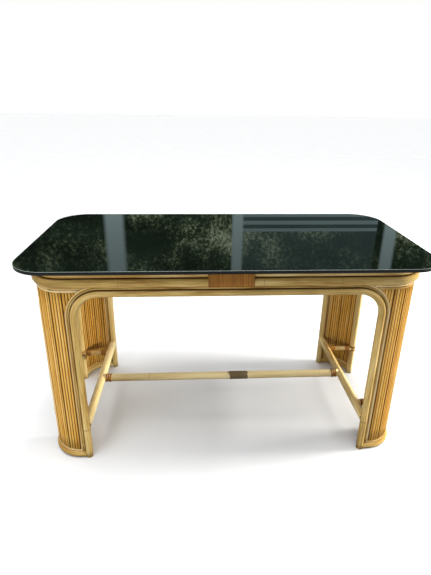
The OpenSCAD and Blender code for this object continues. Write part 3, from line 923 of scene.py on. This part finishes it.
def zinc():
    """Dull plating with darker stains."""
    material, tree, shader = new_material("zinc_plated_steel")
    place = add(tree, "ShaderNodeTexCoord").outputs["Object"]
    stain = add(tree, "ShaderNodeTexNoise", {"Scale": 300.0, "Detail": 4.0}, {"Vector": place}).outputs["Fac"]
    tree.links.new(ramp(tree, stain, (0.35, "#6E6A60"), (0.65, "#A9A69C")), shader.inputs["Base Color"])
    tree.links.new(maths(tree, "MULTIPLY_ADD", stain, 0.4, 0.25), shader.inputs["Roughness"])
    shader.inputs["Metallic"].default_value = 1.0
    return material


steel = zinc()
stays = {"glass_bumpers": vinyl(), "rail_dowels": beech(), "rail_screws": steel, "stretcher_screws": steel}
for node, material in stays.items():
    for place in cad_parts[node].material_slots:
        place.material = material
    print(node, "is", material.name)

# %% [markdown]
# ## Floor and room
# The floor is plain and pale. The room gives soft light, strongest from its ceiling, so
# that the table stands in its own shade. It is also what the glass reflects.

# %% Floor
bpy.context.scene.view_settings.view_transform = "Standard"
mesh = bmesh.new()
bmesh.ops.create_grid(mesh, x_segments=2, y_segments=2, size=30)
data = bpy.data.meshes.new("studio_floor")
mesh.to_mesh(data)
mesh.free()
floor = bpy.data.objects.new("studio_floor", data)
bpy.context.collection.objects.link(floor)
floor_material, tree, shader = new_material("matt_white_floor")
place = add(tree, "ShaderNodeTexCoord").outputs["Object"]
mottle = add(tree, "ShaderNodeTexNoise", {"Scale": 3.0, "Detail": 4.0}, {"Vector": place}).outputs["Fac"]
white = ramp(tree, mottle, (0.3, "#DEDFE0"), (0.7, "#E3E4E5"))
# The floor throws little light back up, so the undersides and the aprons keep their shade.
seen_direct = add(tree, "ShaderNodeLightPath").outputs["Is Camera Ray"]
tree.links.new(mix(tree, seen_direct, "#767676", white), shader.inputs["Base Color"])
shader.inputs["Roughness"].default_value = 0.9
data.materials.append(floor_material)
print("floor laid")

# %% Room
world = bpy.data.worlds.new("pale_room")
world.use_nodes = True
bpy.context.scene.world = world
tree = world.node_tree
ray = add(tree, "ShaderNodeTexCoord").outputs["Generated"]
parts = add(tree, "ShaderNodeSeparateXYZ", links={"Vector": ray})
height, depth, across = parts.outputs["Z"], parts.outputs["Y"], parts.outputs["X"]
# The room is pale low down behind the table, dark above that where the glass looks, and
# bright overhead. In front it is dimmer, so the aprons lie in soft shade.
behind = ramp(tree, height, (0.0, 0.42), (0.19, 0.42), (0.235, 0.10), (0.42, 0.10), (0.66, 0.22),
              (0.88, 1.0))
ahead = ramp(tree, height, (0.0, 0.20), (0.35, 0.22), (0.66, 0.16), (0.88, 1.0))
facing = ramp(tree, depth, (0.0, 0.0), (0.30, 1.0))
room = mix(tree, facing, ahead, behind)
# Trees, an awning and pale window posts stand in the dark band, and show only in the glass.
# Slopes, and not angles, set their places, so that upright and level lines stay straight.
slope_x = maths(tree, "DIVIDE", across, maths(tree, "MAXIMUM", depth, 0.05))
slope_z = maths(tree, "DIVIDE", height, maths(tree, "MAXIMUM", depth, 0.05))
fine = {"Scale": 130.0, "Detail": 5.0, "Roughness": 0.85}
leaves = add(tree, "ShaderNodeTexNoise", fine, {"Vector": ray}).outputs["Fac"]
clumps = add(tree, "ShaderNodeTexNoise", {"Scale": 9.0, "Detail": 2.0}, {"Vector": ray}).outputs["Fac"]
growth = maths(tree, "ADD", leaves, maths(tree, "MULTIPLY_ADD", clumps, 0.9, -0.45))
foliage = ramp(tree, growth, (0.40, "#141C12"), (0.52, "#3E4E36"), (0.60, "#8A9A78"), (0.72, "#DCE6C8"))
# The awning hangs between two slopes to the right, and its slats are level.
right_of = maths(tree, "GREATER_THAN", slope_x, 0.115)
left_of = maths(tree, "LESS_THAN", slope_x, 0.455)
between = maths(tree, "MULTIPLY", right_of, left_of)
seen = mix(tree, maths(tree, "MULTIPLY", between, 0.35), foliage, "#6C8488")
slats = maths(tree, "LESS_THAN", maths(tree, "FRACT", maths(tree, "MULTIPLY", slope_z, 52.0)), 0.5)
awning = mix(tree, slats, "#8FA4A6", "#4A5A5C")
under_it = maths(tree, "LESS_THAN", slope_z, 0.306)
seen = mix(tree, maths(tree, "MULTIPLY", between, under_it), seen, awning)
# Three window posts, each with its slope and its width.
bars = None
for place, width in ((-0.188, 0.022), (0.108, 0.013), (0.490, 0.016)):
    near = maths(tree, "ABSOLUTE", maths(tree, "SUBTRACT", slope_x, place))
    bar = ramp(tree, near, (width * 0.8, 1.0), (width * 1.2, 0.0))
    bars = bar if bars is None else maths(tree, "MAXIMUM", bars, bar)
seen = mix(tree, bars, seen, "#B4CCCC")
view = ramp(tree, height, (0.20, 0.0), (0.235, 1.0), (0.40, 1.0), (0.44, 0.0))
room = mix(tree, maths(tree, "MULTIPLY", view, facing), room, seen)
straight_on = add(tree, "ShaderNodeLightPath").outputs["Is Camera Ray"]
tree.links.new(mix(tree, straight_on, room, "#FFFFFF"), tree.nodes["Background"].inputs["Color"])
# The ceiling is much the brightest part, and the table top shades the floor from it.
ceiling = ramp(tree, height, (0.74, 0.0), (0.90, 1.0))
strength = maths(tree, "MULTIPLY_ADD", ceiling, 2.6, 1.0)
tree.links.new(strength, tree.nodes["Background"].inputs["Strength"])
print("room has", len(tree.nodes), "nodes")

# %% [markdown]
# ## Lamps
# A key lamp stands low on the right and grazes the front, which brings out the reeds. A
# soft box hangs overhead, and a weak fill stands low on the left. All are broad, so that
# the shadows stay soft, and warm or cool by a trace only.

# %% Lamps


def soft_box(name, place, target, size, power, colour):
    lamp = bpy.data.lights.new(name, "AREA")
    lamp.shape = "RECTANGLE"
    lamp.size, lamp.size_y = size
    lamp.energy = power
    lamp.color = linear(colour)[:3]
    item = bpy.data.objects.new(name, lamp)
    bpy.context.collection.objects.link(item)
    # A lamp mirrored in the glass or the lacquer would be a hard white patch.
    item.visible_glossy = False
    aim = (Vector(target) - Vector(place)).to_track_quat("-Z", "Y")
    item.matrix_world = Matrix.Translation(place) @ aim.to_matrix().to_4x4()
    print(f"{name}: {power} W")


soft_box("key_right", (4.2, 0.05, 0.85), (0, 0, 0.4), (0.9, 0.6), 340, "#FFFBF4")
soft_box("overhead", (0.1, 0.0, 3.2), (0, 0, 0), (2.0, 1.2), 44, "#FFFFFF")
soft_box("fill_left", (-1.6, -1.7, 0.65), (-0.3, 0, 0.5), (1.2, 0.7), 22, "#F6FAFF")

# %% [markdown]
# ## Camera
# It stands in front, a little left of the middle, and looks down on the glass. It is turned
# by three small angles in radians, and its shift only frames the table.

# %% Camera
YAW, PITCH_DOWN, ROLL = 0.058, 0.369, 0.014
CAMERA_PLACE = (-0.1204, -1.5228, 1.2360)
level = Vector((math.sin(YAW), math.cos(YAW), 0))
forward = level * math.cos(PITCH_DOWN) - Z * math.sin(PITCH_DOWN)
right = Vector((math.cos(YAW), -math.sin(YAW), 0))
upward = right.cross(forward)
rolled_right = math.cos(ROLL) * right + math.sin(ROLL) * upward
rolled_up = math.cos(ROLL) * upward - math.sin(ROLL) * right
lens = bpy.data.cameras.new("camera")
lens.sensor_width = lens.sensor_height = 36
lens.sensor_fit = "VERTICAL"
lens.lens = 26.88
lens.shift_x, lens.shift_y = -0.0019, -0.0429
camera = bpy.data.objects.new("camera", lens)
bpy.context.collection.objects.link(camera)
turn = Matrix((rolled_right, rolled_up, -forward)).transposed().to_4x4()
camera.matrix_world = Matrix.Translation(CAMERA_PLACE) @ turn
bpy.context.scene.camera = camera
print(f"camera {CAMERA_PLACE[2]:.2f} m above the floor, lens {lens.lens:.1f} mm")
